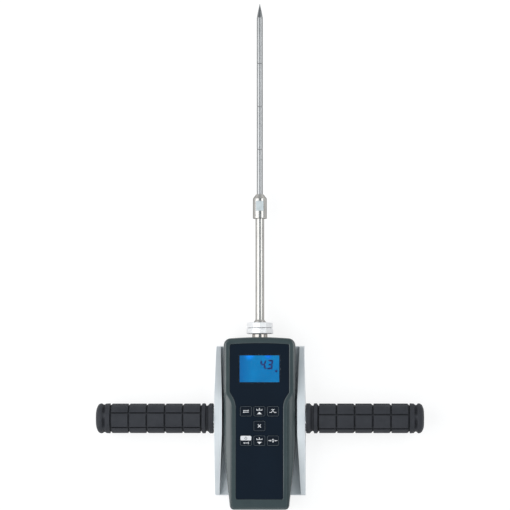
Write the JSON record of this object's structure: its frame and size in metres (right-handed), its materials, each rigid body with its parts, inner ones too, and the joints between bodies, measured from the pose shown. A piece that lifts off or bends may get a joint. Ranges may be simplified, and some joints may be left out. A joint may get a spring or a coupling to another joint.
{
  "type": "soil bearing capacity tester",
  "caption": "Digital force gauge in an aluminium bracket with rubber-gripped side handles and a long cone-tipped probe, pushed into the ground to read its bearing strength.",
  "frame": {"origin": "on the back plate's rear face, straight below the point where the handles' and the probe's axes cross", "axes": "+X along the handles to the right of the display, +Y along the probe to its tip, +Z out of the gauge's face"},
  "size_m": [0.3776, 0.585, 0.0432],
  "materials": {
    "probe_steel": "ground and polished steel",
    "tip_steel": "dark hardened steel, ground",
    "nut_aluminium": "bright turned aluminium",
    "neck_chrome": "polished chrome",
    "casing": "dark green-grey moulded plastic, fine satin grain",
    "panel": "gloss black printed panel",
    "window": "clear window",
    "display": "blue backlit display",
    "key": "black satin key caps with a pale outline",
    "board": "green circuit board",
    "switch": "black switch bodies",
    "cell_aluminium": "machined aluminium",
    "battery": "plain wrapped pack",
    "bracket": "satin anodised aluminium",
    "bar": "drawn aluminium bar and bright root washer",
    "grip": "black moulded rubber"
  },
  "bodies": {
    "frame": {"front_shell": "casing", "rear_shell": "casing", "overlay_panel": "panel", "display_window": "window", "lcd_module": "display", "main_board": "board", "tact_switches": "switch", "load_cell": "cell_aluminium", "anchor_block": "cell_aluminium", "battery_pack": "battery", "back_plate": "bracket", "left_cheek": "bracket", "right_cheek": "bracket", "handle_bars": "bar", "grips": "grip"},
    "probe": {"cone_tip": "tip_steel", "probe_rod": "probe_steel", "rod_coupling": "probe_steel", "extension_rod": "probe_steel", "load_shaft": "neck_chrome"},
    "upper_lock_nut": {"upper_lock_nut": "nut_aluminium"},
    "lower_lock_nut": {"lower_lock_nut": "nut_aluminium"},
    "key_unit": {"key_unit": "key"},
    "key_up": {"key_up": "key"},
    "key_peak": {"key_peak": "key"},
    "key_delete": {"key_delete": "key"},
    "key_power": {"key_power": "key"},
    "key_down": {"key_down": "key"},
    "key_zero": {"key_zero": "key"}
  },
  "joints": [
    {"name": "probe_slide", "type": "slide", "parent": "frame", "child": "probe", "axis": [0, -1, 0], "range_m": [0, 0.0005], "stiffness_N_per_m": 20000, "deforming": ["load_cell"]},
    {"name": "upper_nut_turn", "type": "hinge", "parent": "probe", "child": "upper_lock_nut", "pos_m": [0, 0.107, 0.024], "axis": [0, 1, 0], "continuous": true},
    {"name": "lower_nut_turn", "type": "hinge", "parent": "probe", "child": "lower_lock_nut", "pos_m": [0, 0.1004, 0.024], "axis": [0, 1, 0], "continuous": true},
    {"name": "key_unit_press", "type": "slide", "parent": "frame", "child": "key_unit", "axis": [0, 0, -1], "range_m": [0, 0.0005], "stiffness_N_per_m": 300, "springref_m": -0.003},
    {"name": "key_up_press", "type": "slide", "parent": "frame", "child": "key_up", "axis": [0, 0, -1], "range_m": [0, 0.0005], "stiffness_N_per_m": 300, "springref_m": -0.003},
    {"name": "key_peak_press", "type": "slide", "parent": "frame", "child": "key_peak", "axis": [0, 0, -1], "range_m": [0, 0.0005], "stiffness_N_per_m": 300, "springref_m": -0.003},
    {"name": "key_delete_press", "type": "slide", "parent": "frame", "child": "key_delete", "axis": [0, 0, -1], "range_m": [0, 0.0005], "stiffness_N_per_m": 300, "springref_m": -0.003},
    {"name": "key_power_press", "type": "slide", "parent": "frame", "child": "key_power", "axis": [0, 0, -1], "range_m": [0, 0.0005], "stiffness_N_per_m": 300, "springref_m": -0.003},
    {"name": "key_down_press", "type": "slide", "parent": "frame", "child": "key_down", "axis": [0, 0, -1], "range_m": [0, 0.0005], "stiffness_N_per_m": 300, "springref_m": -0.003},
    {"name": "key_zero_press", "type": "slide", "parent": "frame", "child": "key_zero", "axis": [0, 0, -1], "range_m": [0, 0.0005], "stiffness_N_per_m": 300, "springref_m": -0.003}
  ]
}
